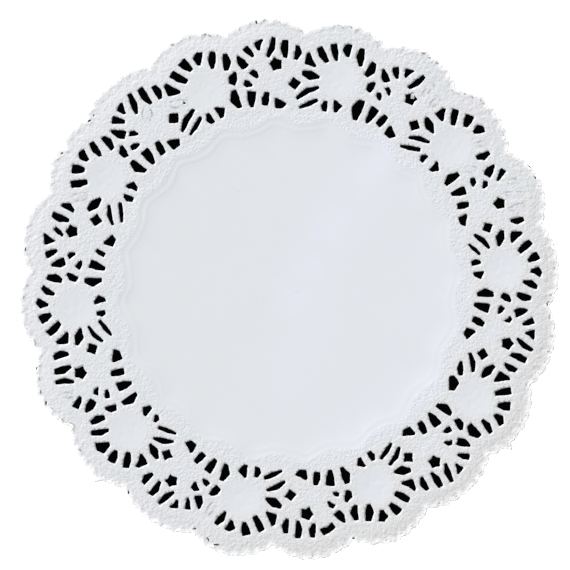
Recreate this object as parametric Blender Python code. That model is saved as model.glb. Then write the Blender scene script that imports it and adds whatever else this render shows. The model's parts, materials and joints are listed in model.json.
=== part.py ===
"""Round paper lace doily: one die-cut, embossed sheet that lies flat. Metres, +Z up.

The origin is the middle of the lace pattern, on the face that the doily rests on. Bearings are degrees
turned from +X towards +Y.

Twenty scallops run round the edge, and under each of them sits a medallion of openings. Rosettes, with a
plain disc in the middle, and clusters, with a star in the middle, take turns. A medallion's openings are
placed from its own middle: "out" points away from the doily's middle, and "along" runs round it, the way
that bearings grow. The die was cut by hand, so each medallion sits a little off its even place.
"""

import math
import random
from collections import namedtuple

import bpy

MM = 0.001

# Driving dimensions
SHEET_THICKNESS = 1.2 * MM  # over the pressed relief; the paper alone is thinner
SCALLOPS = 20
SCALLOP_PITCH = 360.0 / SCALLOPS
FIRST_BEARING = 5.2  # of the first scallop's crest
SCALLOP_ARM = 117.1 * MM  # doily's middle to the centre of a scallop's arc
SCALLOP_RADIUS = 34.9 * MM
ROSETTE_ARM = 119.4 * MM  # doily's middle to a rosette's middle
CLUSTER_ARM = 118.3 * MM
PICOTS_PER_SCALLOP = 7
PICOT_HEIGHT = 1.1 * MM
POINTS_PER_PICOT = 4
PICOT_WOBBLE = 0.2 * MM  # how far a point of the edge strays
SLOT_WOBBLE = 0.15 * MM  # how far an opening's corner strays
WOBBLE_SEED = 20
PAPER_COLOUR = (0.83, 0.84, 0.86, 1.0)
PAPER_ROUGHNESS = 0.85

# One row for each scallop and the medallion under it, in millimetres and degrees: how far the scallop's
# crest and the dip before it reach, how far the medallion sits off its even place, its turn, and the size
# of its openings against the usual.
Medallion = namedtuple("Medallion", "kind dip crest out along turn size")
MEDALLIONS = (
    Medallion("rosette", dip=145.0, crest=150.4, out=0.6, along=0.4, turn=-1.4, size=0.96),
    Medallion("cluster", dip=145.2, crest=152.3, out=0.6, along=0.5, turn=1.0, size=0.94),
    Medallion("rosette", dip=144.4, crest=151.2, out=0.2, along=0.0, turn=0.0, size=0.98),
    Medallion("cluster", dip=145.4, crest=152.4, out=0.0, along=-0.7, turn=-0.3, size=1.00),
    Medallion("rosette", dip=145.8, crest=151.4, out=-0.4, along=-0.8, turn=0.3, size=1.03),
    Medallion("cluster", dip=143.8, crest=151.7, out=-0.2, along=-0.8, turn=0.0, size=1.03),
    Medallion("rosette", dip=146.3, crest=152.9, out=0.5, along=-1.0, turn=0.0, size=1.09),
    Medallion("cluster", dip=146.6, crest=151.2, out=-0.2, along=-1.6, turn=1.3, size=1.07),
    Medallion("rosette", dip=147.5, crest=150.1, out=-1.0, along=-1.9, turn=0.0, size=1.02),
    Medallion("cluster", dip=144.6, crest=151.6, out=-0.2, along=-1.2, turn=-1.4, size=1.00),
    Medallion("rosette", dip=145.9, crest=150.8, out=0.6, along=-1.2, turn=-0.7, size=1.00),
    Medallion("cluster", dip=143.9, crest=152.3, out=-0.2, along=-0.1, turn=1.7, size=1.02),
    Medallion("rosette", dip=144.7, crest=150.5, out=-1.0, along=0.8, turn=0.0, size=0.98),
    Medallion("cluster", dip=144.2, crest=150.4, out=-0.2, along=1.2, turn=1.6, size=0.97),
    Medallion("rosette", dip=146.5, crest=152.2, out=-0.5, along=0.7, turn=0.0, size=1.01),
    Medallion("cluster", dip=143.8, crest=151.4, out=0.0, along=1.2, turn=1.6, size=1.01),
    Medallion("rosette", dip=144.7, crest=152.5, out=-0.6, along=0.8, turn=0.0, size=0.98),
    Medallion("cluster", dip=144.7, crest=150.2, out=0.2, along=0.4, turn=0.0, size=0.99),
    Medallion("rosette", dip=145.1, crest=151.6, out=0.0, along=0.1, turn=0.8, size=1.00),
    Medallion("cluster", dip=144.8, crest=150.7, out=-0.4, along=0.6, turn=-2.5, size=0.97),
)

# Points where the paper edge tore or was pushed, in degrees from the scallop's crest and millimetres.
TORN_HALF_WIDTH = 1.0
Torn = namedtuple("Torn", "scallop offset reach")
TORN_POINTS = (
    Torn(2, offset=4.0, reach=3.1),
    Torn(3, offset=1.0, reach=1.7),
    Torn(6, offset=-1.0, reach=1.4),
    Torn(8, offset=3.0, reach=2.2),
    Torn(8, offset=-1.5, reach=-3.1),
    Torn(11, offset=-1.0, reach=1.1),
    Torn(12, offset=3.5, reach=4.7),
    Torn(18, offset=-5.0, reach=3.6),
)

# One row for each opening of a medallion, in millimetres and degrees: its middle, the bearing of its long
# axis from "out", its length, its width at the inner end, the middle and the outer end, and how far its
# middle bows to the left of that axis.
Slot = namedtuple("Slot", "name out along axis length inner middle outer bow")
ROSETTE_SLOTS = (
    Slot("a1", 9.6, -16.2, -19, 8.4, 2.4, 4.4, 2.4, -0.5),
    Slot("a2", 13.6, -9.6, -26, 8.8, 1.4, 3.8, 2.6, 0.4),
    Slot("a3", 17.4, -3.0, -25, 6.5, 1.7, 4.6, 3.1, 0.7),
    Slot("a4", 16.2, 4.9, 26, 7.0, 2.0, 4.4, 4.7, 0.0),
    Slot("a5", 11.9, 11.3, 40, 9.1, 2.4, 4.0, 3.4, 0.2),
    Slot("a6", 7.4, 17.4, 40, 8.5, 1.1, 5.2, 1.7, 1.4),
    Slot("a7", -1.3, 17.0, 73, 9.5, 1.2, 5.2, 2.0, 0.2),
    Slot("a8", -10.4, 16.3, 129, 11.8, 1.4, 2.9, 1.4, -0.6),
    Slot("a9", -16.4, 13.3, 125, 10.7, 1.7, 2.5, 1.1, 0.0),
    Slot("a10", -15.7, 4.4, -174, 5.5, 1.6, 3.4, 2.3, -0.4),
    Slot("a11", -14.4, -2.0, -168, 6.1, 1.2, 4.4, 1.9, 1.0),
    Slot("a12", -11.6, -13.3, 177, 9.6, 2.5, 4.9, 1.9, -0.7),
    Slot("a13", -0.2, -16.4, -36, 6.4, 3.1, 4.2, 1.4, 0.4),
)
CLUSTER_SLOTS = (
    Slot("b1", 12.1, -15.4, -14, 7.6, 1.7, 3.8, 2.3, -0.6),
    Slot("b2", 14.8, -8.8, -6, 9.6, 1.6, 4.0, 3.0, 0.4),
    Slot("b3", 16.3, -1.2, -23, 11.0, 1.4, 3.4, 1.8, -0.4),
    Slot("b4", 18.5, 5.2, -23, 6.1, 1.1, 4.0, 1.1, 1.2),
    Slot("b5", 14.9, 11.2, 38, 6.7, 1.3, 3.1, 3.6, 0.0),
    Slot("b6", 9.8, 16.0, 32, 7.7, 4.3, 4.3, 1.0, 0.2),
    Slot("b9", 3.8, 9.8, 46, 4.3, 1.0, 2.6, 2.3, -0.4),
    Slot("b10", -1.7, 13.8, 72, 4.7, 1.0, 3.1, 2.6, 0.0),
    Slot("b11", -14.8, -3.0, -134, 6.5, 1.2, 5.2, 3.4, -1.0),
    Slot("b12", -11.9, 4.4, 165, 7.1, 2.5, 3.8, 3.2, 0.0),
    Slot("b13", -11.5, 12.2, 174, 8.6, 4.9, 4.3, 1.7, 0.0),
)

# The pointed openings of a cluster: the reach of the points and of the notches between them.
Star = namedtuple("Star", "name out along points reach notch turn")
CLUSTER_STARS = (
    Star("b7", 6.8, -3.0, points=5, reach=3.7, notch=2.7, turn=10),
    Star("b8", -4.7, -12.4, points=4, reach=3.4, notch=2.3, turn=4),
)

# Openings that the die pressed and did not punch, by the place of their medallion in the table above.
UNPUNCHED = (
    (1, "b2"), (1, "b3"), (1, "b4"), (2, "a2"), (2, "a13"), (3, "b1"), (3, "b2"),
    (6, "a7"), (7, "b7"), (8, "a6"), (11, "b4"), (14, "a1"), (15, "b4"), (18, "a10"),
)

# Openings that differ from the usual one of that name.
ODD_SLOTS = {
    (9, "b3"): Slot("b3", 13.8, -1.0, -30, 6.2, 1.4, 2.9, 1.7, 0.0),
    (15, "b5"): Slot("b5", 16.5, 7.6, -66, 7.9, 3.4, 3.2, 4.2, 0.4),
    (18, "a11"): Slot("a11", -14.6, 0.5, -150, 7.9, 2.6, 5.5, 2.9, 0.7),
    (18, "a9"): Slot("a9", -15.1, 10.8, 128, 8.4, 1.7, 2.9, 1.2, 0.2),
}

# Openings that were cut a little off the usual one of that name: how far they moved, in millimetres, how
# far they turned, in degrees, and their size against it.
Stray = namedtuple("Stray", "place name out along turn size")
STRAYS = (
    Stray(0, "a8", out=-1.1, along=-0.3, turn=6, size=1.00),
    Stray(0, "a9", out=0.3, along=-1.4, turn=10, size=0.85),
    Stray(2, "a1", out=0.4, along=1.1, turn=0, size=0.95),
    Stray(2, "a8", out=-0.4, along=-1.3, turn=-4, size=1.00),
    Stray(2, "a9", out=-1.3, along=1.5, turn=2, size=1.10),
    Stray(2, "a10", out=0.0, along=1.1, turn=0, size=0.92),
    Stray(3, "b10", out=0.5, along=-1.1, turn=-35, size=0.90),
    Stray(4, "a2", out=1.5, along=0.0, turn=32, size=1.12),
    Stray(4, "a3", out=-0.2, along=1.4, turn=30, size=1.00),
    Stray(4, "a7", out=0.7, along=-1.5, turn=15, size=1.00),
    Stray(4, "a12", out=-2.0, along=-0.8, turn=-7, size=1.18),
    Stray(4, "a13", out=0.6, along=-2.2, turn=12, size=0.93),
    Stray(5, "b9", out=-1.5, along=-0.5, turn=-8, size=1.18),
    Stray(8, "a8", out=-1.7, along=1.3, turn=4, size=0.95),
    Stray(11, "b1", out=0.5, along=-1.1, turn=6, size=1.10),
    Stray(11, "b3", out=0.6, along=-1.1, turn=0, size=0.90),
    Stray(11, "b9", out=-0.9, along=0.1, turn=5, size=0.93),
    Stray(11, "b13", out=-1.1, along=1.1, turn=0, size=0.95),
    Stray(12, "a9", out=0.8, along=0.3, turn=-6, size=1.00),
    Stray(12, "a10", out=0.6, along=0.2, turn=25, size=0.72),
    Stray(13, "b4", out=-1.1, along=-0.5, turn=8, size=0.94),
    Stray(15, "b6", out=1.2, along=-0.6, turn=0, size=0.96),
    Stray(15, "b9", out=-0.6, along=0.9, turn=0, size=1.00),
    Stray(15, "b10", out=-0.5, along=0.3, turn=-6, size=0.75),
    Stray(16, "a9", out=1.5, along=-0.2, turn=-3, size=1.00),
    Stray(17, "b4", out=-0.4, along=-0.9, turn=-8, size=0.95),
)


def polar(radius, bearing):
    angle = math.radians(bearing)
    return radius * math.cos(angle), radius * math.sin(angle)


def medallion_bearing(place):
    return FIRST_BEARING + place * SCALLOP_PITCH


def scallop_reach(offset):
    """How far a scallop's arc reaches, this many degrees from its crest."""
    angle = math.radians(offset)
    across = SCALLOP_ARM * math.sin(angle)
    return SCALLOP_ARM * math.cos(angle) + math.sqrt(SCALLOP_RADIUS**2 - across**2)


def torn_reach(place, offset):
    """What the torn points of a scallop add to its reach, each a small tent."""
    reach = 0.0
    for torn in TORN_POINTS:
        if torn.scallop == place:
            reach += torn.reach * MM * max(0.0, 1.0 - abs(offset - torn.offset) / TORN_HALF_WIDTH)
    return reach


def edge_reach(place, offset):
    """The edge before its wobble: the scallop's arc, drawn to its own crest and dips, with its picots."""
    medallion = MEDALLIONS[place]
    dip = medallion.dip if offset < 0 else MEDALLIONS[(place + 1) % SCALLOPS].dip
    share = abs(offset) / (SCALLOP_PITCH / 2)
    correction = (1 - share) * (medallion.crest * MM - scallop_reach(0.0))
    correction += share * (dip * MM - scallop_reach(SCALLOP_PITCH / 2))
    phase = PICOTS_PER_SCALLOP * (offset / SCALLOP_PITCH + 0.5)
    picot = PICOT_HEIGHT * (abs(math.sin(math.pi * phase)) - 1.0)
    return scallop_reach(offset) + correction + picot + torn_reach(place, offset)


def edge_outline(wobble):
    outline = []
    steps = PICOTS_PER_SCALLOP * POINTS_PER_PICOT
    for place in range(SCALLOPS):
        for step in range(steps):
            offset = SCALLOP_PITCH * (step / steps - 0.5)
            reach = edge_reach(place, offset) + wobble.uniform(-1, 1) * PICOT_WOBBLE
            outline.append(polar(reach, medallion_bearing(place) + offset))
    return outline


def own_slot(slot, place):
    """A medallion's own opening of this name: the usual one, or an odd one, as far as it strays."""
    slot = ODD_SLOTS.get((place, slot.name), slot)
    for stray in STRAYS:
        if (stray.place, stray.name) == (place, slot.name):
            slot = slot._replace(
                out=slot.out + stray.out,
                along=slot.along + stray.along,
                axis=slot.axis + stray.turn,
                length=slot.length * stray.size,
                inner=slot.inner * stray.size,
                middle=slot.middle * stray.size,
                outer=slot.outer * stray.size,
            )
    return slot


def slot_outline(slot, size):
    """Six corners of a tapered opening round its medallion's middle, as (out, along)."""
    axis = math.radians(slot.axis)
    half = size * slot.length / 2
    corners = []
    for side, ends in ((1, (-1, 0, 1)), (-1, (1, 0, -1))):
        for end in ends:
            width = (slot.inner, slot.middle, slot.outer)[end + 1] * size
            bow = slot.bow if end == 0 else -slot.bow / 2
            run, rise = end * half, side * width / 2 + bow
            corners.append((
                slot.out + run * math.cos(axis) - rise * math.sin(axis),
                slot.along + run * math.sin(axis) + rise * math.cos(axis),
            ))
    return corners


def star_outline(star, size):
    corners = []
    for step in range(2 * star.points):
        reach = size * (star.notch if step % 2 else star.reach)
        out, along = polar(reach, star.turn + 180.0 * step / star.points)
        corners.append((star.out + out, star.along + along))
    return corners


def on_sheet(corners, place, wobble):
    """A medallion's corners, in millimetres from its middle, as points of the sheet."""
    medallion = MEDALLIONS[place]
    arm = ROSETTE_ARM if medallion.kind == "rosette" else CLUSTER_ARM
    bearing = math.radians(medallion_bearing(place))
    turn = math.radians(medallion.turn)
    points = []
    for out, along in corners:
        far = arm + (medallion.out + out * math.cos(turn) - along * math.sin(turn)) * MM
        side = (medallion.along + out * math.sin(turn) + along * math.cos(turn)) * MM
        far += wobble.uniform(-1, 1) * SLOT_WOBBLE
        side += wobble.uniform(-1, 1) * SLOT_WOBBLE
        points.append((
            far * math.cos(bearing) - side * math.sin(bearing),
            far * math.sin(bearing) + side * math.cos(bearing),
        ))
    return points


def medallion_outlines(place, wobble):
    """Name and outline of each opening that is punched in this medallion."""
    medallion = MEDALLIONS[place]
    rosette = medallion.kind == "rosette"
    slots = ROSETTE_SLOTS if rosette else CLUSTER_SLOTS
    shapes = [(slot.name, slot_outline(own_slot(slot, place), medallion.size)) for slot in slots]
    if not rosette:
        shapes += [(star.name, star_outline(star, medallion.size)) for star in CLUSTER_STARS]
    return [(name, on_sheet(corners, place, wobble)) for name, corners in shapes
            if (place, name) not in UNPUNCHED]


def lace_outlines():
    wobble = random.Random(WOBBLE_SEED)
    outlines = [("edge", edge_outline(wobble))]
    for place in range(SCALLOPS):
        outlines += medallion_outlines(place, wobble)
    return outlines


def paper_material():
    material = bpy.data.materials.new("paper")
    material.use_nodes = True
    shader = material.node_tree.nodes["Principled BSDF"]
    shader.inputs["Base Color"].default_value = PAPER_COLOUR
    shader.inputs["Roughness"].default_value = PAPER_ROUGHNESS
    shader.inputs["Metallic"].default_value = 0.0
    return material


def flat_sheet(name, outlines, thickness, material, collection):
    """A flat curve filled between its outlines and raised to the sheet's thickness, resting on z = 0."""
    curve = bpy.data.curves.new(name, "CURVE")
    curve.dimensions = "2D"
    curve.fill_mode = "BOTH"
    curve.extrude = thickness / 2
    for _, points in outlines:
        spline = curve.splines.new("POLY")
        spline.points.add(len(points) - 1)
        for point, (x, y) in zip(spline.points, points):
            point.co = (x, y, 0.0, 1.0)
        spline.use_cyclic_u = True
    curve.materials.append(material)
    sheet = bpy.data.objects.new(name, curve)
    sheet.location.z = thickness / 2
    collection.objects.link(sheet)
    return sheet


def clear_scene():
    for obj in list(bpy.data.objects):
        bpy.data.objects.remove(obj, do_unlink=True)


def main():
    clear_scene()
    collection = bpy.data.collections.new("lace doily")
    bpy.context.scene.collection.children.link(collection)
    flat_sheet("doily", lace_outlines(), SHEET_THICKNESS, paper_material(), collection)


main()
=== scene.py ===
"""Looks of the round paper lace doily: an embossed, die-cut sheet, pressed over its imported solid.

Every length in a table or a name that ends in _MM is in millimetres, as is every length that the
relief works with. Bearings are degrees turned from +X towards +Y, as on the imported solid, whose
pattern is centred on the origin.
"""

import json
import math
from collections import namedtuple
from contextlib import contextmanager

import bmesh
import bpy
import numpy as np
from bpy.props import FloatProperty, FloatVectorProperty, PointerProperty
from mathutils import Matrix, Vector, noise
from mathutils.kdtree import KDTree

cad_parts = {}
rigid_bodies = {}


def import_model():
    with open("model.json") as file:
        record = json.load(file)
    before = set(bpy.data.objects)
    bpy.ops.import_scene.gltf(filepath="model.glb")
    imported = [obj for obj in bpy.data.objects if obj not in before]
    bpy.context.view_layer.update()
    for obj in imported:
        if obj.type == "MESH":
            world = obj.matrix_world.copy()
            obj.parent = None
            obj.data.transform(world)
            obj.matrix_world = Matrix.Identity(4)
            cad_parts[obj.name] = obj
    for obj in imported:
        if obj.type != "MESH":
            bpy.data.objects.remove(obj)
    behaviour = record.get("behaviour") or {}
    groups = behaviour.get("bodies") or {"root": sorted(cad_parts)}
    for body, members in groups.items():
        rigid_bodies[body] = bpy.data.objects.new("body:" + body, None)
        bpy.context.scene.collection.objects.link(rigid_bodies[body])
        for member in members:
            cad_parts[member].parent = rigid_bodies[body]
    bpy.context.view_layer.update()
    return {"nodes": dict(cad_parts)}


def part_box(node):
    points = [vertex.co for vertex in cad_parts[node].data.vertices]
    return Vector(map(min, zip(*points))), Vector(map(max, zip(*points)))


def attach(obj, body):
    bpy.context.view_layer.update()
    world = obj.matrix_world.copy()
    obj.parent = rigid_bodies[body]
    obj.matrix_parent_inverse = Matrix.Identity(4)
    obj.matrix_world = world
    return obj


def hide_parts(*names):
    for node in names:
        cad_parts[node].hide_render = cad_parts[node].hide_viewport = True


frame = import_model()

bl_info = {
    "name": "Paper Lace Doily",
    "version": (1, 0, 0),
    "blender": (4, 5, 0),
    "location": "3D View > Sidebar > Doily",
    "description": "Cuts, presses and lights a round paper lace doily",
    "category": "Mesh",
}

MM = 0.001
SOLID = "doily"
LOW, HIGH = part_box(SOLID)
MID_HEIGHT = (LOW.z + HIGH.z) / 2

# The pattern repeats twenty times round the doily.
REPEATS = 20
PITCH = 360.0 / REPEATS
FIRST_BEARING = 5.2
ROSETTE_ARM_MM = 119.4
ROSETTE_RADIUS_MM = 11.9
LACE_OUTER_MM = 141.5  # between the openings and the edge
PICOTS = 7  # along the edge of one repeat

# The blank's bands of cells, from the middle out: where a band starts and ends, its rings and its
# cells round the doily. The last band reaches past the edge.
Band = namedtuple("Band", "start end rings cells")
BANDS = (
    Band(start=6.0, end=84.0, rings=13, cells=120),
    Band(start=85.0, end=98.6, rings=14, cells=420),
    Band(start=99.8, end=141.0, rings=34, cells=580),
    Band(start=141.8, end=156.0, rings=18, cells=1100),
)

# The raised lines round the panel hang in garlands from the medallions: their reach at a
# medallion's bearing and halfway to the next, the height of the step up to the line, its half
# width, and how far past the line the paper has fallen again, and by what share of the step.
Garland = namedtuple("Garland", "cusp bulge step width fall share")
GARLANDS = (
    Garland(cusp=95.0, bulge=90.8, step=0.09, width=0.9, fall=7.0, share=1.8),
    Garland(cusp=91.1, bulge=87.2, step=0.085, width=0.8, fall=3.2, share=1.0),
)

# Soft streaks of painted highlight on the panel, standing in for light caught by old creases: from
# one point to another, how far they spread and how strong they are.
Streak = namedtuple("Streak", "x0 y0 x1 y1 spread gain")
STREAKS = (
    Streak(x0=52.0, y0=78.0, x1=24.0, y1=30.0, spread=10.0, gain=1.0),
    Streak(x0=22.0, y0=34.0, x1=4.0, y1=-6.0, spread=12.0, gain=0.9),
    Streak(x0=8.0, y0=-20.0, x1=0.0, y1=-52.0, spread=14.0, gain=0.35),
    Streak(x0=34.0, y0=-80.0, x1=76.0, y1=-52.0, spread=10.0, gain=0.8),
    Streak(x0=80.0, y0=-30.0, x1=82.0, y1=10.0, spread=6.0, gain=0.4),
)

# Openings that were pressed and not punched: bearing and reach of the middle, heading of the long
# axis, length and width. Neighbours fall in different groups.
PRESSED_GROUPS = 3
Pressed = namedtuple("Pressed", "bearing reach heading length width")
PRESSED = (
    Pressed(19.8, 134.1, 18, 9.0, 3.9),
    Pressed(23.0, 135.2, 1, 10.3, 3.2),
    Pressed(25.7, 137.4, 1, 5.7, 4.2),
    Pressed(37.1, 133.5, 15, 8.6, 3.7),
    Pressed(33.4, 120.5, 5, 6.3, 4.2),
    Pressed(52.1, 131.3, 45, 7.6, 3.9),
    Pressed(55.2, 134.8, 48, 9.6, 3.2),
    Pressed(120.9, 119.7, 6, 10.4, 5.7),
    Pressed(129.2, 125.0, 90, 7.5, 7.2),
    Pressed(156.2, 126.8, 9, 8.7, 5.6),
    Pressed(205.6, 136.6, 2, 6.2, 4.4),
    Pressed(250.3, 129.4, 58, 8.5, 4.4),
)

# Flaps of paper that still hang in an opening: the middle, the heading, the length and the width.
Flap = namedtuple("Flap", "x y heading length width")
FLAPS = (
    Flap(x=68.3, y=107.3, heading=84, length=3.4, width=1.9),
)

# Openings that the paper shows cut otherwise than the solid has them: where each one is, how far it
# moves along +X and +Y, how far it turns, in degrees, and how long and wide it is against the
# solid's. These are judged to half a millimetre, five degrees and a twentieth. No stated
# opening is here.
Recut = namedtuple("Recut", "x y across up turn length width")
RECUTS = (
    Recut(x=13, y=-134, across=0.5, up=0.0, turn=10, length=0.7, width=1.2),
    Recut(x=-104, y=20, across=-0.5, up=0.0, turn=0, length=0.8, width=0.7),
    Recut(x=-134, y=28, across=0.5, up=1.0, turn=0, length=1.2, width=1.2),
    Recut(x=90, y=-53, across=0.5, up=1.0, turn=90, length=1.0, width=1.05),
    Recut(x=25, y=133, across=-0.5, up=-1.5, turn=-5, length=1.3, width=0.8),
    Recut(x=53, y=118, across=0.5, up=0.5, turn=15, length=0.95, width=0.85),
    Recut(x=84, y=97, across=0.5, up=0.0, turn=0, length=0.85, width=1.0),
    Recut(x=9, y=110, across=1.0, up=0.0, turn=0, length=1.15, width=1.1),
    Recut(x=-104, y=-14, across=-1.0, up=-0.5, turn=0, length=0.85, width=1.0),
    Recut(x=-1, y=-114, across=1.5, up=0.0, turn=0, length=0.95, width=0.95),
    Recut(x=-58, y=95, across=0.5, up=-1.0, turn=0, length=1.1, width=1.2),
    Recut(x=-24, y=115, across=0.5, up=-1.0, turn=-5, length=0.95, width=1.15),
    Recut(x=-96, y=-45, across=0.5, up=-1.0, turn=0, length=1.0, width=1.0),
    Recut(x=-77, y=-91, across=1.0, up=0.5, turn=0, length=1.0, width=0.9),
    Recut(x=-57, y=-121, across=0.5, up=1.5, turn=-10, length=1.0, width=0.85),
    Recut(x=45, y=98, across=0.5, up=-1.5, turn=5, length=1.1, width=0.95),
    Recut(x=102, y=-41, across=-0.5, up=1.0, turn=0, length=0.9, width=1.0),
    Recut(x=107, y=-10, across=-0.5, up=1.0, turn=5, length=1.0, width=1.05),
    Recut(x=-104, y=-88, across=0.0, up=0.5, turn=-5, length=1.2, width=1.3),
    Recut(x=-33, y=-132, across=-0.5, up=1.0, turn=10, length=0.9, width=1.0),
    Recut(x=118, y=64, across=-1.0, up=-0.5, turn=0, length=1.1, width=0.95),
    Recut(x=-53, y=-110, across=0.5, up=0.5, turn=-5, length=1.1, width=1.35),
    Recut(x=-83, y=-97, across=0.0, up=1.0, turn=-10, length=0.9, width=1.1),
    Recut(x=-105, y=-80, across=0.0, up=1.0, turn=-5, length=1.15, width=0.95),
    Recut(x=-135, y=-1, across=0.0, up=0.0, turn=-10, length=0.9, width=1.0),
    Recut(x=95, y=-45, across=0.0, up=0.0, turn=-10, length=0.9, width=1.2),
    Recut(x=-25, y=-102, across=-0.5, up=0.5, turn=0, length=1.15, width=1.1),
    Recut(x=44, y=-125, across=0.0, up=1.0, turn=0, length=1.05, width=1.2),
    Recut(x=103, y=-80, across=-0.5, up=1.0, turn=0, length=1.05, width=1.2),
    Recut(x=135, y=-25, across=-0.5, up=0.0, turn=0, length=0.95, width=1.2),
)

# A pinhole and nicks where the paper tore, most of them just inside the edge: the middle, the
# heading, the length and the width.
Nick = namedtuple("Nick", "x y heading length width")
NICKS = (
    Nick(x=-58.4, y=103.2, heading=0, length=1.6, width=1.2),
    Nick(x=-18.3, y=148.0, heading=90, length=1.9, width=0.8),
    Nick(x=-108.6, y=96.3, heading=60, length=1.4, width=0.7),
    Nick(x=-111.1, y=93.3, heading=25, length=2.0, width=1.0),
    Nick(x=-126.3, y=75.3, heading=40, length=1.6, width=0.7),
    Nick(x=-146.4, y=22.1, heading=90, length=2.2, width=0.7),
    Nick(x=-140.4, y=-44.0, heading=80, length=1.7, width=0.7),
    Nick(x=-137.9, y=-57.2, heading=95, length=2.2, width=0.5),
    Nick(x=-135.1, y=-63.3, heading=80, length=2.4, width=0.9),
    Nick(x=-89.3, y=-113.3, heading=90, length=2.7, width=0.9),
    Nick(x=-52.4, y=-133.0, heading=-30, length=1.8, width=0.7),
    Nick(x=-45.2, y=-138.9, heading=-60, length=3.2, width=0.6),
    Nick(x=-40.5, y=-142.0, heading=-6, length=3.8, width=0.8),
    Nick(x=35.6, y=-138.4, heading=5, length=1.8, width=0.7),
    Nick(x=143.2, y=-8.7, heading=90, length=1.6, width=0.6),
    Nick(x=136.5, y=62.3, heading=92, length=2.8, width=1.0),
)

# Limits of the cutting.
SAME_POINT = 0.001 * MM
LEVEL = 0.01 * MM  # a smaller difference in place or height counts as none
SHORTEST_UPRIGHT = 0.1 * MM
LONG_SIDE = 2.2 * MM  # a longer side of an opening is halved before it frays
FRAY_SWELL = 1.7 * MM  # size of the swells by which the cut edges stray
FRAY_SEED = 20  # of those swells, so that every run strays alike
SHORTEST_EDGE = 0.16 * MM  # points of the cut sheet that are closer together are merged
STRAIGHT = math.radians(0.2)
RIM_MARGIN_MM = 0.1
NICK_MARGIN_MM = 0.2
NICK_CORNERS = 8

# Flaps hang by this many thicknesses below the paper round them, and are tilted by this angle.
FLAP_DROP = 1.2
FLAP_TILT = math.radians(6)


# ---------------------------------------------------------------- settings


class SheetSettings(bpy.types.PropertyGroup):
    """Sizes of the paper and of its relief."""

    thickness: FloatProperty(
        name="Paper thickness", description="Thickness of the paper itself",
        default=0.16 * MM, unit="LENGTH")
    corner: FloatProperty(
        name="Corner share", description="Share of each side that a cut corner's rounding takes",
        default=12.0, subtype="PERCENTAGE")
    growth: FloatProperty(
        name="Cut growth",
        description="How much wider the pressed paper's openings are than the die's",
        default=0.15 * MM, unit="LENGTH")
    fray: FloatProperty(
        name="Fraying", description="How far the cut edges stray from the die's, at most",
        default=0.32 * MM, unit="LENGTH")


class PaperSettings(bpy.types.PropertyGroup):
    """Colours of the paper."""

    ring_colour: FloatVectorProperty(
        name="Lace colour", description="Paper of the lace ring and the edge",
        default=(0.750, 0.762, 0.783), size=3, subtype="COLOR")
    panel_colour: FloatVectorProperty(
        name="Panel colour", description="Paper of the plain middle",
        default=(0.750, 0.776, 0.815), size=3, subtype="COLOR")
    roughness: FloatProperty(
        name="Roughness", description="Roughness of the paper", default=0.86, subtype="FACTOR")


class StudioSettings(bpy.types.PropertyGroup):
    """Light and camera."""

    sky: FloatProperty(name="Sky strength", description="Light from all round", default=0.40)
    key: FloatProperty(
        name="Key light", description="Light from the upper left, in watts on a square metre",
        default=4.05)
    key_elevation: FloatProperty(
        name="Key elevation", description="Height of the key light over the surface",
        default=math.radians(28.0), subtype="ANGLE")
    camera_height: FloatProperty(
        name="Camera height", description="Camera above the doily", default=1.3, unit="LENGTH")
    view_width: FloatProperty(
        name="View width", description="Width of the view at the doily", default=0.3165,
        unit="LENGTH")
    card_margin: FloatProperty(
        name="Card margin",
        description="How far the dark card's edge lies inside the doily's, on average",
        default=0.85 * MM, unit="LENGTH")


# ---------------------------------------------------------------- modelling helpers


def deselect_all():
    for obj in bpy.context.selected_objects:
        obj.select_set(False)


def make_active(obj):
    deselect_all()
    obj.select_set(True)
    bpy.context.view_layer.objects.active = obj


@contextmanager
def editing(obj, kind):
    """Edit mode on one object, with nothing selected in it at first."""
    make_active(obj)
    bpy.ops.object.mode_set(mode="EDIT")
    bpy.ops.mesh.select_mode(type=kind)
    bpy.ops.mesh.select_all(action="DESELECT")
    yield
    bpy.ops.object.mode_set(mode="OBJECT")


def select_where(obj, kind, test):
    """In edit mode, selects only the edges or faces that pass the test. Says how many they are."""
    bpy.ops.mesh.select_all(action="DESELECT")
    mesh = bmesh.from_edit_mesh(obj.data)
    chosen = [element for element in getattr(mesh, kind) if test(element)]
    for element in chosen:
        element.select_set(True)
    mesh.select_flush_mode()
    bmesh.update_edit_mesh(obj.data)
    return len(chosen)


def apply_modifier(obj, kind, **settings):
    make_active(obj)
    modifier = obj.modifiers.new(kind.lower(), kind)
    for name, value in settings.items():
        setattr(modifier, name, value)
    bpy.ops.object.modifier_apply(modifier=modifier.name)


def remove_object(obj):
    mesh = obj.data
    bpy.data.objects.remove(obj, do_unlink=True)
    bpy.data.meshes.remove(mesh)


def put_in_order(obj):
    """Sorts a mesh's points, edges and faces by place. A boolean leaves them in an order that
    differs from run to run, and so would what follows it."""
    work = bmesh.new()
    work.from_mesh(obj.data)
    for parts, place in (
        (work.verts, lambda vert: vert.co[:]),
        (work.edges, lambda edge: sorted(vert.co[:] for vert in edge.verts)),
        (work.faces, lambda face: sorted(vert.co[:] for vert in face.verts)),
    ):
        for rank, part in enumerate(sorted(parts, key=place)):
            part.index = rank
        parts.sort()
    work.to_mesh(obj.data)
    work.free()


def reach_mm(vert):
    return vert.co.xy.length / MM


# ---------------------------------------------------------------- the blank and the die


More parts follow.
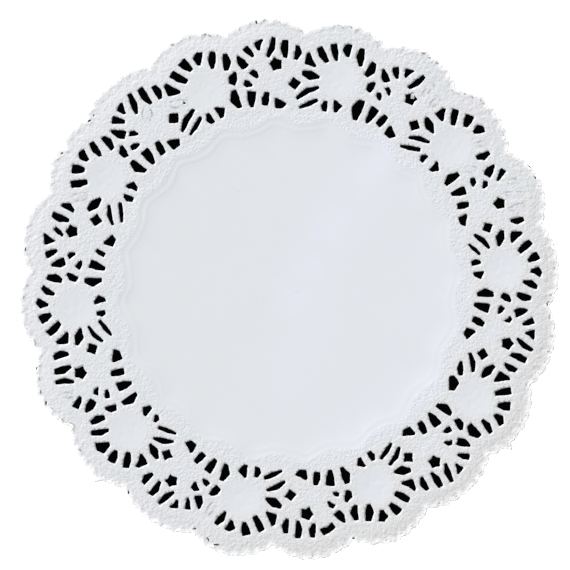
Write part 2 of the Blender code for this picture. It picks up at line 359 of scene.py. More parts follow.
def band_of_cells(band, filled):
    """One band of the blank, drawn outwards ring by ring from a circle, with its faces up."""
    deselect_all()
    bpy.ops.mesh.primitive_circle_add(
        vertices=band.cells, radius=band.start * MM, fill_type="NGON" if filled else "NOTHING",
        location=(0, 0, MID_HEIGHT))
    blank = bpy.context.object
    bpy.ops.object.transform_apply(location=True, rotation=True, scale=True)
    width = band.end - band.start
    reaches = [band.start + width * ring / band.rings for ring in range(band.rings + 1)]
    with editing(blank, "EDGE"):
        bpy.ops.mesh.select_all(action="SELECT")
        for before, after in zip(reaches, reaches[1:]):
            bpy.ops.mesh.extrude_edges_move()
            growth = after / before
            bpy.ops.transform.resize(value=(growth, growth, 1), center_override=(0, 0, MID_HEIGHT))
        if select_where(blank, "faces", lambda face: face.normal.z < 0):
            bpy.ops.mesh.flip_normals()
    return blank


def bridge_bands(blank, inner, outer):
    """Joins the rim of one band to the start of the next."""

    def on_rims(edge):
        return edge.is_boundary and any(
            all(abs(reach_mm(vert) - rim) < RIM_MARGIN_MM for vert in edge.verts)
            for rim in (inner.end, outer.start))

    select_where(blank, "edges", on_rims)
    bpy.ops.mesh.bridge_edge_loops()


def round_blank():
    """A flat round of cells, larger than the doily, finest where the relief is."""
    bands = [band_of_cells(band, filled=place == 0) for place, band in enumerate(BANDS)]
    make_active(bands[0])
    for band in bands:
        band.select_set(True)
    bpy.ops.object.join()
    blank = bpy.context.object
    blank.name = "lace_doily"
    with editing(blank, "EDGE"):
        for inner, outer in zip(BANDS, BANDS[1:]):
            bridge_bands(blank, inner, outer)
    return blank


def copy_of_solid():
    """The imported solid's own walls: a merged copy without its upper and lower faces."""
    die = frame["nodes"][SOLID].copy()
    die.data = die.data.copy()
    die.name = "die"
    die.parent = None
    for key in list(die.keys()):
        del die[key]
    bpy.context.scene.collection.objects.link(die)
    with editing(die, "FACE"):
        bpy.ops.mesh.select_all(action="SELECT")
        bpy.ops.mesh.remove_doubles(threshold=SAME_POINT)
        select_where(die, "faces", lambda face: abs(face.normal.z) > 0.5)
        bpy.ops.mesh.delete(type="FACE")
    return die


def is_upright(edge):
    run = edge.verts[0].co - edge.verts[1].co
    return run.xy.length < LEVEL and abs(run.z) > SHORTEST_UPRIGHT


def is_long_side(edge):
    run = edge.verts[0].co - edge.verts[1].co
    return run.length > LONG_SIDE and abs(run.z) < LEVEL


def fray_edges(die, reach):
    """Moves the die's walls a little to and fro, upper and lower ends alike."""
    noise.seed_set(FRAY_SEED)
    for vert in die.data.vertices:
        place = Vector((vert.co.x, vert.co.y, 0)) / FRAY_SWELL
        vert.co.xy += reach * noise.noise_vector(place).xy


def recut_opening(die, cut):
    """Stretches the opening nearest the cut's place along its own axes, turns it and moves it."""
    place = Vector((cut.x, cut.y)) * MM
    with editing(die, "VERT"):
        walls = bmesh.from_edit_mesh(die.data)
        min(walls.verts, key=lambda vert: (vert.co.xy - place).length).select_set(True)
        bmesh.update_edit_mesh(die.data)
        bpy.ops.mesh.select_linked()
    walls = [vert for vert in die.data.vertices if vert.select]
    points = np.array([vert.co.xy for vert in walls])
    middle = points.mean(axis=0)
    _, axes = np.linalg.eigh(np.cov((points - middle).T))
    stretch = axes @ np.diag((cut.width, cut.length)) @ axes.T
    turn = np.array(Matrix.Rotation(math.radians(cut.turn), 2))
    moved = middle + np.array((cut.across, cut.up)) * MM + (points - middle) @ (turn @ stretch).T
    for vert, point in zip(walls, moved):
        vert.co.xy = point


def add_nicks(die):
    """Joins a small oval punch for each nick to the openings' die."""
    punches = []
    for nick in NICKS:
        deselect_all()
        bpy.ops.mesh.primitive_cylinder_add(
            vertices=NICK_CORNERS, radius=0.5 * MM, depth=HIGH.z - LOW.z,
            location=(nick.x * MM, nick.y * MM, MID_HEIGHT),
            rotation=(0, 0, math.radians(nick.heading)))
        punches.append(bpy.context.object)
        punches[-1].scale = (nick.length, nick.width, 1)
        bpy.ops.object.transform_apply(location=True, rotation=True, scale=True)
    make_active(die)
    for punch in punches:
        punch.select_set(True)
    bpy.ops.object.join()


def cutting_dies(sheet):
    """Two closed dies, one for the edge and one for the openings, with rounded corners."""
    die = copy_of_solid()
    with editing(die, "EDGE"):
        bpy.ops.mesh.select_all(action="SELECT")
        bpy.ops.mesh.dissolve_limited(angle_limit=STRAIGHT)
        select_where(die, "edges", is_upright)
        bpy.ops.mesh.bevel(
            offset_type="PERCENT", offset_pct=sheet.corner, segments=2, affect="EDGES")
        bpy.ops.mesh.select_all(action="SELECT")
        bpy.ops.transform.shrink_fatten(value=-sheet.growth)
        select_where(die, "edges", is_long_side)
        bpy.ops.mesh.subdivide(number_cuts=1)
    fray_edges(die, sheet.fray)
    with editing(die, "EDGE"):
        bpy.ops.mesh.select_all(action="SELECT")
        bpy.ops.mesh.fill_holes(sides=0)
        bpy.ops.mesh.select_all(action="SELECT")
        bpy.ops.mesh.normals_make_consistent(inside=False)
        bpy.ops.mesh.select_mode(type="FACE")
        select_where(die, "faces", lambda face: all(
            reach_mm(vert) > LACE_OUTER_MM for vert in face.verts))
        bpy.ops.mesh.separate(type="SELECTED")
    edge_die = next(obj for obj in bpy.context.selected_objects if obj != die)
    for cut in RECUTS:
        recut_opening(die, cut)
    add_nicks(die)
    return edge_die, die


def cut_blank(blank, sheet):
    """Cuts the blank to the doily's outline and punches its openings. It stays one flat layer."""
    edge_die, openings_die = cutting_dies(sheet)
    for die, operation in ((edge_die, "INTERSECT"), (openings_die, "DIFFERENCE")):
        put_in_order(die)
        apply_modifier(blank, "BOOLEAN", object=die, operation=operation, solver="EXACT")
        remove_object(die)
        put_in_order(blank)
    with editing(blank, "FACE"):
        select_where(blank, "faces", lambda face: any(
            abs(vert.co.z - MID_HEIGHT) > LEVEL for vert in face.verts))
        bpy.ops.mesh.delete(type="FACE")
        bpy.ops.mesh.select_all(action="SELECT")
        bpy.ops.mesh.remove_doubles(threshold=SHORTEST_EDGE)
        if select_where(blank, "faces", lambda face: face.normal.z < 0):
            bpy.ops.mesh.flip_normals()


# ---------------------------------------------------------------- the relief


# How the relief is shaped, in millimetres. A swell is smooth unevenness of this height and size.
Swell = namedtuple("Swell", "height size seed")
PANEL_SWELL = Swell(height=0.03, size=30.0, seed=2)
SHEET_SWELL = Swell(height=0.08, size=45.0, seed=1)  # outside the panel
STEP_SWELL = Swell(height=0.3, size=18.0, seed=4)  # in shares of a garland's step
LINE_SWAY = 0.5  # how far the garland lines wander in and out
LINE_SWAY_SIZE = 7.0
LINE_SAG_POWER = 1.3
STEP_SHARE = 0.8  # of a garland's step that is pressed, on average
STEP_LEAN = 0.3  # how much more of it at the deepest bearing
DEEPEST_BEARING = 140

# The slow rises from the panel to the ring: how high, from where, measured outwards from the first
# garland line, and over what length.
Rise = namedtuple("Rise", "height start run")
RISES = (
    Rise(height=0.38, start=-12.0, run=19.0),
    Rise(height=0.07, start=7.0, run=5.0),
)

DISH_DEPTH = 0.16  # of a rosette
FLUTE_HEIGHT = 0.055
FLUTES = 18
BAR_ROLL = 0.06  # how far the bars' sides are rolled down, and how far in
BAR_ROLL_WIDTH = 0.75
GRAIN_HEIGHT = 0.12
GRAIN_PITCH = 2.6
LIP_HEIGHT = 0.06  # a low lip along the edge, on a border that falls towards it
LIP_WIDTH = 2.2
BORDER_FALL = 0.42
BORDER_WIDTH = 7.5
EDGE_REACH_MM = 150  # of the pearls, on average
Pearl = namedtuple("Pearl", "height half_length half_width inside")
PEARL = Pearl(height=0.24, half_length=3.1, half_width=2.6, inside=1.0)
SMALL_PEARL_HEIGHT = 0.18
SMALL_PEARL_PITCH = 2.0
SMALL_PEARLS = 480  # round the doily
GROOVE_DEPTH = 0.10  # round an opening that was only pressed
GROOVE_WIDTH = 0.9
TONGUE_HEIGHT = 0.05
TONGUE_TILT = 0.09
KEPT_TO_EDGE = 9.0  # the finish asks for no greater distance to the edge
SHADE_BEARING = -42  # where the ring turns away from the light, and where it faces it
SHINE_BEARING = 157

# Pebbles, in shares of their pitch, and how many squares there are before they repeat.
PEBBLE_SHIFT = 0.32
PEBBLE_RADIUS = 0.62
PEBBLE_LOWEST = 0.45
PEBBLE_SQUARES = 1024

NOISE_GAIN = 1.6  # brings the noise to about -1 to 1
SEED_STEP = 7.3  # between the layers that two seeds pick


def is_at_nick(point):
    """Whether a point, in millimetres, lies on the rim of a nick."""
    return any(
        math.hypot(point.x - nick.x, point.y - nick.y) < nick.length / 2 + NICK_MARGIN_MM
        for nick in NICKS)


def smooth(share):
    share = np.clip(share, 0.0, 1.0)
    return share * share * (3 - 2 * share)


def ramp(value, start, run):
    """0 up to the start, 1 past the run, smooth between."""
    return smooth((value - start) / run)


def ridge(distance, half_width):
    return np.exp(-((distance / half_width) ** 2))


def slow_noise(x, y, size, seed):
    """Smooth noise from about -1 to 1 whose swells are of this size."""
    layer = seed * SEED_STEP
    swells = [noise.noise(Vector((a / size, b / size, layer))) for a, b in zip(x, y)]
    return np.array(swells) * NOISE_GAIN


def pebbles(u, v, pitch, seed):
    """Uneven round bumps from 0 to 1, about one to each square of this pitch."""
    draw = np.random.RandomState(seed)
    count = PEBBLE_SQUARES
    shift = draw.uniform(-PEBBLE_SHIFT, PEBBLE_SHIFT, (count, count, 2))
    height = draw.uniform(PEBBLE_LOWEST, 1.0, (count, count))
    u, v = u / pitch, v / pitch
    column, row = np.floor(u).astype(int), np.floor(v).astype(int)
    best = np.zeros_like(u)
    for across in (-1, 0, 1):
        for up in (-1, 0, 1):
            i, j = (column + across) % count, (row + up) % count
            a = column + across + 0.5 + shift[i, j, 0] - u
            b = row + up + 0.5 + shift[i, j, 1] - v
            bump = np.clip(1 - (np.hypot(a, b) / PEBBLE_RADIUS) ** 2, 0, 1)
            best = np.maximum(best, height[i, j] * bump)
    return best


class Paper:
    """The flat sheet's points, in millimetres, with what the relief asks of each of them."""

    def __init__(self, mesh):
        points = np.empty(len(mesh.vertices) * 3)
        mesh.vertices.foreach_get("co", points)
        self.x, self.y = points.reshape(-1, 3)[:, :2].T / MM
        self.reach = np.hypot(self.x, self.y)
        self.bearing = np.degrees(np.arctan2(self.y, self.x))
        self.phase = ((self.bearing - FIRST_BEARING) % PITCH) / PITCH
        rim, opening = self._rims(mesh)
        self.to_edge = self._distance(rim)
        self.to_opening = self._distance(opening)
        self.past_lines = [self._past_line(garland) for garland in GARLANDS]

    def _rims(self, mesh):
        """Points along the outer edge, and points along the openings, without the nicks."""
        work = bmesh.new()
        work.from_mesh(mesh)
        rim, opening = [], []
        for edge in work.edges:
            a, b = (vert.co.xy / MM for vert in edge.verts)
            if edge.is_boundary and not is_at_nick(a):
                steps = max(1, int((b - a).length / 0.25))
                points = [a.lerp(b, step / steps) for step in range(steps)]
                (rim if a.length > LACE_OUTER_MM + 1 else opening).extend(points)
        work.free()
        return rim, opening

    def _distance(self, points):
        tree = KDTree(len(points))
        for place, point in enumerate(points):
            tree.insert((point.x, point.y, 0), place)
        tree.balance()
        return np.array([tree.find((a, b, 0))[2] for a, b in zip(self.x, self.y)])

    def _past_line(self, garland):
        """How far each point lies past a garland line, outwards."""
        sway = LINE_SWAY * slow_noise(self.x, self.y, LINE_SWAY_SIZE, garland.cusp)
        sag = np.sin(np.pi * self.phase) ** LINE_SAG_POWER
        return self.reach - (garland.cusp - (garland.cusp - garland.bulge) * sag) - sway

    def swells(self, swell):
        return swell.height * slow_noise(self.x, self.y, swell.size, swell.seed)


def panel_relief(paper):
    """Steps up over the garland lines, pressed deepest at the upper left, on a slow rise from the
    panel to the ring, and a faint unevenness."""
    lean = np.cos(np.radians(paper.bearing - DEEPEST_BEARING))
    depth = STEP_SHARE + STEP_LEAN * lean + paper.swells(STEP_SWELL)
    height = paper.swells(PANEL_SWELL)
    for garland, past in zip(GARLANDS, paper.past_lines):
        step = depth * garland.step * smooth(past / garland.width / 2 + 0.5)
        height += step * (1 - garland.share * smooth(past / garland.fall))
    for rise in RISES:
        height += rise.height * ramp(paper.past_lines[0], rise.start, rise.run)
    return height


def streaks(paper):
    """How much of the painted highlight of the streaks each point gets, up to 1."""
    share = np.zeros_like(paper.x)
    for streak in STREAKS:
        run = np.array([streak.x1 - streak.x0, streak.y1 - streak.y0])
        a, b = paper.x - streak.x0, paper.y - streak.y0
        along = np.clip((a * run[0] + b * run[1]) / (run @ run), 0, 1)
        away = np.hypot(a - along * run[0], b - along * run[1])
        share = np.maximum(share, streak.gain * ridge(away, streak.spread))
    return share


def rosettes(paper):
    """For each rosette, in the middle of every second medallion: how far off the points lie, in
    shares of its radius, and in which direction."""
    for place in range(0, REPEATS, 2):
        bearing = math.radians(FIRST_BEARING + place * PITCH)
        a = paper.x - ROSETTE_ARM_MM * math.cos(bearing)
        b = paper.y - ROSETTE_ARM_MM * math.sin(bearing)
        yield np.hypot(a, b) / ROSETTE_RADIUS_MM, np.arctan2(b, a)


def rosette_relief(paper):
    """Shallow dishes with faint flutes."""
    height = np.zeros_like(paper.x)
    for place, (away, turn) in enumerate(rosettes(paper)):
        height -= DISH_DEPTH * smooth(1.25 * (1 - away))
        flutes = FLUTE_HEIGHT * np.cos(FLUTES * turn + 2 * place)
        height += flutes * smooth(3 * away) * smooth(2.5 * (1 - away))
    return height


def lace_relief(paper, ring):
    """Rounded bars between the openings, and pebbled paper round them."""
    rolled = -BAR_ROLL * ridge(paper.to_opening, BAR_ROLL_WIDTH)
    grain = pebbles(paper.x, paper.y, GRAIN_PITCH, seed=3) * GRAIN_HEIGHT
    return rolled + grain * ring


def ring_share(paper):
    """1 on the pebbled paper of the ring, 0 on the panel, in the rosettes and on the bars."""
    share = ramp(paper.past_lines[0], start=0.6, run=1.2)
    share *= 0.7 + 0.3 * ramp(paper.to_opening, start=0.4, run=1.2)
    for away, _ in rosettes(paper):
        share *= smooth(6.0 * away - 4.7)
    return share


def panel_share(paper):
    """How much of the panel's colour the paper has: all of it on the panel and in the rosettes, and
    some in the middles of the clusters."""
    share = 1 - ramp(paper.past_lines[0], start=3.0, run=9.0)
    for away, _ in rosettes(paper):
        share = np.maximum(share, smooth(4.0 * (0.88 - away)))
    middles = 0.9 * ramp(paper.to_opening, start=2.0, run=3.0)
    return np.maximum(share, middles * smooth((LACE_OUTER_MM - 3 - paper.reach) / 4))


def edge_relief(paper):
    """A border that falls to the edge, with a pearl on each picot and small pearls inside it."""
    fall = LIP_HEIGHT * ridge(paper.to_edge, LIP_WIDTH)
    fall -= BORDER_FALL * ridge(paper.to_edge, BORDER_WIDTH)
    near = smooth((10.5 - paper.to_edge) / 3.0)
    along = (paper.phase * PICOTS) % 1.0 - 0.5
    across = along * PITCH / PICOTS * math.pi / 180 * EDGE_REACH_MM
    aside = (across / PEARL.half_length) ** 2
    inside = ((paper.to_edge - PEARL.inside) / PEARL.half_width) ** 2
    pearl = PEARL.height * np.clip(1 - aside - inside, 0, 1)
    along_edge = paper.bearing / 360 * SMALL_PEARLS * SMALL_PEARL_PITCH
    rows = pebbles(along_edge, paper.to_edge + 1.0, SMALL_PEARL_PITCH, seed=5)
    return fall + pearl + SMALL_PEARL_HEIGHT * rows * near


def pressed_places(paper, rows):
    """For the nearest of these pressed openings: how far along and across it a point lies, in
    halves of its length and width, and half its width in millimetres."""
    places = np.zeros((len(paper.x), 3))
    nearest = np.full(len(paper.x), np.inf)
    for pressed in rows:
        bearing, heading = math.radians(pressed.bearing), math.radians(pressed.heading)
        a = paper.x - pressed.reach * math.cos(bearing)
        b = paper.y - pressed.reach * math.sin(bearing)
        half_length, half_width = pressed.length / 2, pressed.width / 2
        along = (a * math.cos(heading) + b * math.sin(heading)) / half_length
        across = (b * math.cos(heading) - a * math.sin(heading)) / half_width
        nearer = np.hypot(a, b) < nearest
        nearest = np.where(nearer, np.hypot(a, b), nearest)
        places[nearer] = np.column_stack([along, across, np.full_like(a, half_width)])[nearer]
    return places


def pressed_relief(places):
    """Openings that were only pressed stand as slightly tilted tongues in a shallow groove."""
    along, across, half_width = places.T
    away = (np.abs(along) ** 3 + np.abs(across) ** 3) ** (1 / 3)
    groove = -GROOVE_DEPTH * ridge((away - 1) * half_width, GROOVE_WIDTH)
    return groove + (TONGUE_HEIGHT + TONGUE_TILT * across) * smooth((1 - away) * 3)


def relief_height(paper, ring, pressed):
    """How far each point stands above the lowest one."""
    height = panel_relief(paper) + rosette_relief(paper) + lace_relief(paper, ring)
    height += edge_relief(paper)
    height += sum(pressed_relief(places) for places in pressed)
    height += paper.swells(SHEET_SWELL) * ramp(paper.reach, start=80, run=30)
    return height - height.min()


def facing(paper, bearing):
    """1 on the side of the doily that has this bearing, 0 on the other."""
    return smooth(1.6 * np.cos(np.radians(paper.bearing - bearing)) - 0.3)


def finish_shares(paper, ring):
    """What the finish asks for at each point, by the name of its attribute."""
    outer = 0.4 * ramp(paper.reach, start=98, run=6) + 0.6 * ramp(paper.reach, start=138, run=6)
    return {
        "panel": panel_share(paper),
        "grain": ring,
        "to_edge": np.minimum(paper.to_edge, KEPT_TO_EDGE),
        "streak": streaks(paper),
        "left": smooth(0.5 - paper.x / 150),
        "shade": outer * facing(paper, SHADE_BEARING),
        "shine": outer * facing(paper, SHINE_BEARING),
    }


def press_relief(blank, sheet):
    """Moves the flat sheet's points up into the relief, and keeps what the finish asks for."""
    mesh = blank.data
    paper = Paper(mesh)
    ring = ring_share(paper)
    groups = range(PRESSED_GROUPS)
    pressed = [pressed_places(paper, PRESSED[group::PRESSED_GROUPS]) for group in groups]
    height = relief_height(paper, ring, pressed)
    top = (HIGH.z - sheet.thickness) / MM
    height *= min(1.0, top / height.max())
    points = np.column_stack([paper.x * MM, paper.y * MM, height * MM + sheet.thickness])
    mesh.vertices.foreach_set("co", points.ravel())
    mesh.update()
    for name, values in finish_shares(paper, ring).items():
        attribute = mesh.attributes.new(name, "FLOAT", "POINT")
        attribute.data.foreach_set("value", values.astype(np.float32))
    for group, places in zip(groups, pressed):
        attribute = mesh.attributes.new(f"pressed_{group}", "FLOAT_VECTOR", "POINT")
        attribute.data.foreach_set("vector", places.astype(np.float32).ravel())


def add_flaps(sheet_obj, thickness):
    """Joins the flaps to the pressed sheet. Each hangs a little below it."""
    flaps = []
    for flap in FLAPS:
        deselect_all()
        height = sheet_obj.closest_point_on_mesh((flap.x * MM, flap.y * MM, HIGH.z))[1].z
        bpy.ops.mesh.primitive_plane_add(
            size=MM, location=(flap.x * MM, flap.y * MM, height - FLAP_DROP * thickness),
            rotation=(0, FLAP_TILT, math.radians(flap.heading)))
        bpy.context.object.scale = (flap.length, flap.width, 1)
        bpy.ops.object.transform_apply(location=True, rotation=True, scale=True)
        flaps.append(bpy.context.object)
        apply_modifier(flaps[-1], "SOLIDIFY", thickness=thickness, offset=0.0)
    make_active(sheet_obj)
    for flap in flaps:
        flap.select_set(True)
    bpy.ops.object.join()


# ---------------------------------------------------------------- the finish

# Faint tints: the red, green and blue of each against those of the paper's own colour.
PANEL_ON_RIGHT = (1.009, 1.006, 1.005)
PANEL_ON_LEFT = (0.993, 0.999, 0.978)
PANEL_CLOUD = (1.010, 0.998, 1.012)
# Painted highlight of the streaks on the panel.
PANEL_STREAK_HIGHLIGHT = (1.04, 1.032, 1.08)
LACE_PATCHES = ((0.985, 1.005, 1.0), (1.015, 0.995, 1.01))
LACE_IN_SHADE = (0.987, 0.970, 0.943)
LACE_IN_LIGHT = (1.03, 1.03, 1.045)

WHITE = (1, 1, 1, 1)
# Painted light: a paler edge, as light from the bright floor shines through the thin paper there.
EDGE_PAINTED_LIGHT = (0.99, 0.99, 0.99, 1)
# Painted shade: broken dark dashes just inside the edge, as between its pearls.
EDGE_PEARL_SHADE = (0.16, 0.15, 0.14, 1)
# Painted shade of the grooves round the openings that were only pressed.
PRESSED_LINE_SHADE = (0.2, 0.2, 0.21, 1)

# How fine each noise is, in swells to a metre.
PATCH_SCALE = 55.0
STREAK_BREAK_SCALE = 70.0
CLOUD_SCALE = 90.0
LINE_BREAK_SCALE = 260.0
EDGE_PEARL_SHADE_SCALE = 330.0
ROUGHNESS_SCALE = 500.0
BUMP_SCALE = 600.0
FIBRE_SCALE = 950.0
MOTTLE_SCALE = 1100.0

# A pressed opening's lines of painted shade, as in a groove round it: how far out they lie and how
# much they bow in towards the ends, both in half widths of the opening, and half the width of a
# line in millimetres.
LINE_PLACE = 0.75
LINE_BOW = 0.35
LINE_HALF_WIDTH_MM = 0.85

ROUGHNESS_SPREAD = 0.12
BUMP_HEIGHT = 0.15 * MM


class Wire:
    """A node's output or a number, which Python's operators join by Math nodes."""

    def __init__(self, tree, source):
        self.tree, self.source = tree, source

    def _math(self, operation, *values):
        return self.tree.node("ShaderNodeMath", {"operation": operation}, *values)[0]

    def __add__(self, other):
        return self._math("ADD", self, other)

    def __sub__(self, other):
        return self._math("SUBTRACT", self, other)

    def __rsub__(self, other):
        return self._math("SUBTRACT", other, self)

    def __mul__(self, other):
        return self._math("MULTIPLY", self, other)

    def __pow__(self, power):
        return self._math("POWER", self, power)

    def __abs__(self):
        return self._math("ABSOLUTE", self)

    def at_least(self, other):
        return self._math("MAXIMUM", self, other)

    def at_most(self, other):
        return self._math("MINIMUM", self, other)

    __radd__ = __add__
    __rmul__ = __mul__


class Finish:
    """A material's node tree, built one node at a time."""

    def __init__(self, name):
        self.material = bpy.data.materials.new(name)
        self.material.use_nodes = True
        self.nodes = self.material.node_tree.nodes
        self.links = self.material.node_tree.links
        self.shader = self.nodes["Principled BSDF"]

    def node(self, kind, settings=None, *values, **named):
        """Adds a node, with its settings first and then its sockets, by place or by name."""
        node = self.nodes.new(kind)
        for name, value in (settings or {}).items():
            setattr(node, name, value)
        for place, value in enumerate(values):
            self.plug(node.inputs[place], value)
        for name, value in named.items():
            self.plug(node.inputs[name.replace("_", " ")], value)
        return [Wire(self, output) for output in node.outputs]

    def plug(self, socket, value):
        if isinstance(value, Wire):
            self.links.new(value.source, socket)
        elif value is not None:
            socket.default_value = value

    def set(self, name, value):
        self.plug(self.shader.inputs[name], value)

    def attribute(self, name):
        return self.node("ShaderNodeAttribute", {"attribute_name": name})[2]

    def attribute_parts(self, name):
        vector = self.node("ShaderNodeAttribute", {"attribute_name": name})[1]
        return self.node("ShaderNodeSeparateXYZ", None, vector)

    def noise(self, place, scale, detail=2.0, roughness=0.5):
        return self.node("ShaderNodeTexNoise", None, Vector=place, Scale=scale, Detail=detail,
                         Roughness=roughness)[0]

    def mix(self, factor, first, second):
        node = self.nodes.new("ShaderNodeMix")
        node.data_type = "RGBA"
        self.plug(node.inputs["Factor"], factor)
        self.plug(node.inputs[6], first)
        self.plug(node.inputs[7], second)
        return Wire(self, node.outputs[2])


def tinted(colour, tint):
    return (*(part * share for part, share in zip(colour, tint)), 1)


def between(value, low, high):
    """0 up to low, 1 from high, straight between."""
    return ((value - low) * (1 / (high - low))).at_least(0.0).at_most(1.0)


def pressed_lines(finish, place):
    """Thin broken strokes of painted shade, as in a groove, along the two sides of each opening
    that was only pressed.
    """
    lines = 0.0
    for group in range(PRESSED_GROUPS):
        along, across, half_width = finish.attribute_parts(f"pressed_{group}")
        bowed = abs(across) + LINE_BOW * along * along - LINE_PLACE
        stroke = 1.0 - abs(bowed) * half_width * (1 / LINE_HALF_WIDTH_MM)
        ends = 1.0 - between(abs(along), 0.85, 1.1)
        lines = (stroke * ends).at_least(lines)
    breaks = between(finish.noise(place, LINE_BREAK_SCALE), 0.38, 0.62)
    return lines * breaks


def panel_colour(finish, place, colour):
    """Cool white, warmer on the left, with faint clouds and streaks of painted highlight."""
    panel = finish.mix(
        finish.attribute("left"), tinted(colour, PANEL_ON_RIGHT), tinted(colour, PANEL_ON_LEFT))
    clouds = between(finish.noise(place, CLOUD_SCALE), 0.35, 0.65)
    panel = finish.mix(0.5 * clouds, panel, tinted(colour, PANEL_CLOUD))
    # Streaks of painted highlight, broken by noise.
    broken = between(finish.noise(place, STREAK_BREAK_SCALE), 0.14, 0.54)
    return finish.mix(finish.attribute("streak") * broken, panel, tinted(colour, PANEL_STREAK_HIGHLIGHT))


def lace_colour(finish, place, colour):
    """White in faint patches, darker away from the light and paler towards it."""
    patches = between(finish.noise(place, PATCH_SCALE), 0.33, 0.67)
    lace = finish.mix(patches, *(tinted(colour, tint) for tint in LACE_PATCHES))
    lace = finish.mix(finish.attribute("shade"), lace, tinted(colour, LACE_IN_SHADE))
    return finish.mix(finish.attribute("shine"), lace, tinted(colour, LACE_IN_LIGHT))


def paper_colour(finish, place, colours, lines):
    """White paper with a paler edge of painted light, broken dashes of painted shade just inside
    it, and the pressed openings' lines of painted shade.
    """
    panel = panel_colour(finish, place, colours.panel_colour)
    lace = lace_colour(finish, place, colours.ring_colour)
    colour = finish.mix(finish.attribute("panel"), lace, panel)
    to_edge = finish.attribute("to_edge")
    # Broken dashes of painted shade just inside the edge, as between its pearls.
    notches = between(finish.noise(place, EDGE_PEARL_SHADE_SCALE), 0.57, 0.69)
    notches *= between(abs(to_edge - 1.8), 0.9, 0.2)
    # The paler edge is painted light shining through the thin paper.
    colour = finish.mix(1.0 - between(to_edge, 0.6, 2.8), colour, EDGE_PAINTED_LIGHT)
    colour = finish.mix(0.8 * notches, colour, EDGE_PEARL_SHADE)
    # Lines of painted shade along the pressed openings.
    return finish.mix(0.62 * lines, colour, PRESSED_LINE_SHADE)


def paper_finish(colours):
    finish = Finish("embossed_paper")
    place = finish.node("ShaderNodeTexCoord")[3]
    grain = finish.attribute("grain")
    lines = pressed_lines(finish, place)
    mottle = 0.35 * (finish.noise(place, MOTTLE_SCALE) - 0.5) * grain
    colour = paper_colour(finish, place, colours, lines)
    finish.set("Base Color", finish.mix(mottle.at_least(0.0), colour, WHITE))
    lowest = colours.roughness - ROUGHNESS_SPREAD / 2
    finish.set("Roughness", ROUGHNESS_SPREAD * finish.noise(place, ROUGHNESS_SCALE) + lowest)
    finish.set("Specular IOR Level", 0.10)
    fibres = finish.noise(place, FIBRE_SCALE, detail=3.0, roughness=0.6)
    bumps = finish.node(
        "ShaderNodeTexVoronoi", {"feature": "SMOOTH_F1"}, Vector=place, Scale=BUMP_SCALE)[0]
    relief = (0.2 + 1.9 * grain) * (fibres - 0.5) - (bumps - 0.35) * grain - 0.7 * lines
    bump = finish.node(
        "ShaderNodeBump", None, Strength=1.0, Distance=BUMP_HEIGHT, Height=relief)[0]
    finish.set("Normal", bump)
    return finish.material


def plain_finish(name, colour, glow=0.0):
    finish = Finish(name)
    finish.set("Base Color", (*colour, 1))
    finish.set("Roughness", 1.0)
    finish.set("Specular IOR Level", 0.0)
    if glow:
        finish.set("Emission Color", WHITE)
        finish.set("Emission Strength", glow)
    return finish.material


def give_finish(obj, material):
    obj.data.materials.clear()
    obj.data.materials.append(material)


# ---------------------------------------------------------------- operators

SMOOTH_ANGLE = math.radians(50)

FLOOR_SIZE = 6.0
FLOOR_DEPTH = 0.15 * MM
FLOOR_COLOUR = (0.95, 0.95, 0.95)
FLOOR_GLOW = 0.9
CARD_DEPTH = 0.05 * MM
CARD_COLOUR = (0.0015, 0.0015, 0.0015)
CARD_CORNERS = 1440
CARD_STRAY = 1.2 * MM  # how far its edge wanders in and out, at most
CARD_SWELLS = 34  # of that wandering, along the length of one radius
KEY_SIZE = math.radians(14)
SENSOR_WIDTH = 36.0  # of the camera
CAMERA_X_MM, CAMERA_Y_MM = -2.54, 2.24


class DOILY_OT_sheet(bpy.types.Operator):
    """Cuts the paper, presses its relief and gives it its finish"""

    bl_idname = "doily.sheet"
    bl_label = "Paper sheet"

    def execute(self, context):
        sheet = context.scene.doily_sheet
        blank = round_blank()
        cut_blank(blank, sheet)
        press_relief(blank, sheet)
        apply_modifier(blank, "SOLIDIFY", thickness=sheet.thickness, offset=-1.0)
        add_flaps(blank, sheet.thickness)
        apply_modifier(blank, "TRIANGULATE")
        make_active(blank)
        bpy.ops.object.shade_smooth_by_angle(angle=SMOOTH_ANGLE)
        give_finish(blank, paper_finish(context.scene.doily_paper))
        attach(blank, "root")
        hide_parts(SOLID)
        return {"FINISHED"}


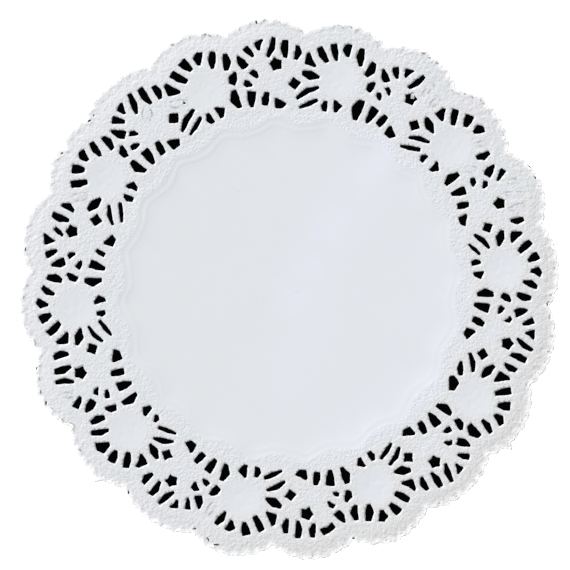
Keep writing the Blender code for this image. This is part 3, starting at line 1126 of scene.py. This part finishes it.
class DOILY_OT_studio(bpy.types.Operator):
    """Lays the doily on a dark card on a pale floor, with soft light from the upper left"""

    bl_idname = "doily.studio"
    bl_label = "Studio"

    def execute(self, context):
        studio = context.scene.doily_studio
        deselect_all()
        bpy.ops.mesh.primitive_plane_add(size=FLOOR_SIZE, location=(0, 0, -FLOOR_DEPTH))
        floor = bpy.context.object
        floor.name = "floor"
        give_finish(floor, plain_finish("pale_floor", FLOOR_COLOUR, glow=FLOOR_GLOW))
        card = self.add_card(studio)
        give_finish(card, plain_finish("dark_card", CARD_COLOUR))
        self.add_light(studio)
        self.add_sky(context.scene, studio)
        self.add_camera(context.scene, studio)
        return {"FINISHED"}

    def add_card(self, studio):
        """A card a little smaller than the doily. Its uneven edge shows in some of the notches."""
        rim = sorted((math.atan2(vert.co.y, vert.co.x), vert.co.xy.length)
                     for vert in frame["nodes"][SOLID].data.vertices
                     if reach_mm(vert) > LACE_OUTER_MM)
        bearings, reaches = np.array(rim).T
        deselect_all()
        bpy.ops.mesh.primitive_circle_add(
            vertices=CARD_CORNERS, radius=0.1, fill_type="NGON", location=(0, 0, -CARD_DEPTH))
        bpy.ops.object.transform_apply(location=True, rotation=True, scale=True)
        card = bpy.context.object
        card.name = "dark_card"
        near = np.radians(np.linspace(-0.5, 0.5, 9))
        for vert in card.data.vertices:
            bearing = math.atan2(vert.co.y, vert.co.x)
            out = Vector((math.cos(bearing), math.sin(bearing)))
            even = np.interp(bearing + near, bearings, reaches, period=2 * math.pi).mean()
            stray = CARD_STRAY * noise.noise(Vector((*out, 0.3)) * CARD_SWELLS)
            vert.co.xy = out * (even - studio.card_margin + stray)
        return card

    def add_light(self, studio):
        deselect_all()
        across = math.cos(studio.key_elevation) / math.sqrt(2)
        towards = Vector((-across, across, math.sin(studio.key_elevation)))
        bpy.ops.object.light_add(type="SUN", location=towards)
        light = bpy.context.object
        light.rotation_euler = towards.to_track_quat("Z", "Y").to_euler()
        light.data.angle = KEY_SIZE
        light.data.energy = studio.key

    def add_sky(self, scene, studio):
        world = bpy.data.worlds.new("soft_sky")
        world.use_nodes = True
        background = world.node_tree.nodes["Background"]
        background.inputs["Color"].default_value = (1.0, 1.0, 1.0, 1)
        background.inputs["Strength"].default_value = studio.sky
        scene.world = world

    def add_camera(self, scene, studio):
        deselect_all()
        bpy.ops.object.camera_add(
            location=(CAMERA_X_MM * MM, CAMERA_Y_MM * MM, studio.camera_height), rotation=(0, 0, 0))
        camera = bpy.context.object
        camera.data.sensor_width = SENSOR_WIDTH
        camera.data.lens = SENSOR_WIDTH * studio.camera_height / studio.view_width
        camera.data.dof.use_dof = False
        scene.camera = camera
        scene.view_settings.view_transform = "Standard"


class DOILY_PT_panel(bpy.types.Panel):
    """Lists the doily's pieces and its studio"""

    bl_idname = "DOILY_PT_panel"
    bl_label = "Paper Lace Doily"
    bl_space_type = "VIEW_3D"
    bl_region_type = "UI"
    bl_category = "Doily"

    def draw(self, context):
        for settings, operator in (
            (context.scene.doily_sheet, DOILY_OT_sheet),
            (context.scene.doily_paper, None),
            (context.scene.doily_studio, DOILY_OT_studio),
        ):
            box = self.layout.box()
            for name in settings.__annotations__:
                box.prop(settings, name)
            if operator:
                box.operator(operator.bl_idname)


CLASSES = (
    SheetSettings, PaperSettings, StudioSettings, DOILY_OT_sheet, DOILY_OT_studio, DOILY_PT_panel,
)


def register():
    for cls in CLASSES:
        bpy.utils.register_class(cls)
    bpy.types.Scene.doily_sheet = PointerProperty(type=SheetSettings)
    bpy.types.Scene.doily_paper = PointerProperty(type=PaperSettings)
    bpy.types.Scene.doily_studio = PointerProperty(type=StudioSettings)


def unregister():
    del bpy.types.Scene.doily_sheet
    del bpy.types.Scene.doily_paper
    del bpy.types.Scene.doily_studio
    for cls in reversed(CLASSES):
        bpy.utils.unregister_class(cls)


def main():
    register()
    bpy.ops.doily.sheet()
    bpy.ops.doily.studio()


if __name__ == "__main__":
    main()
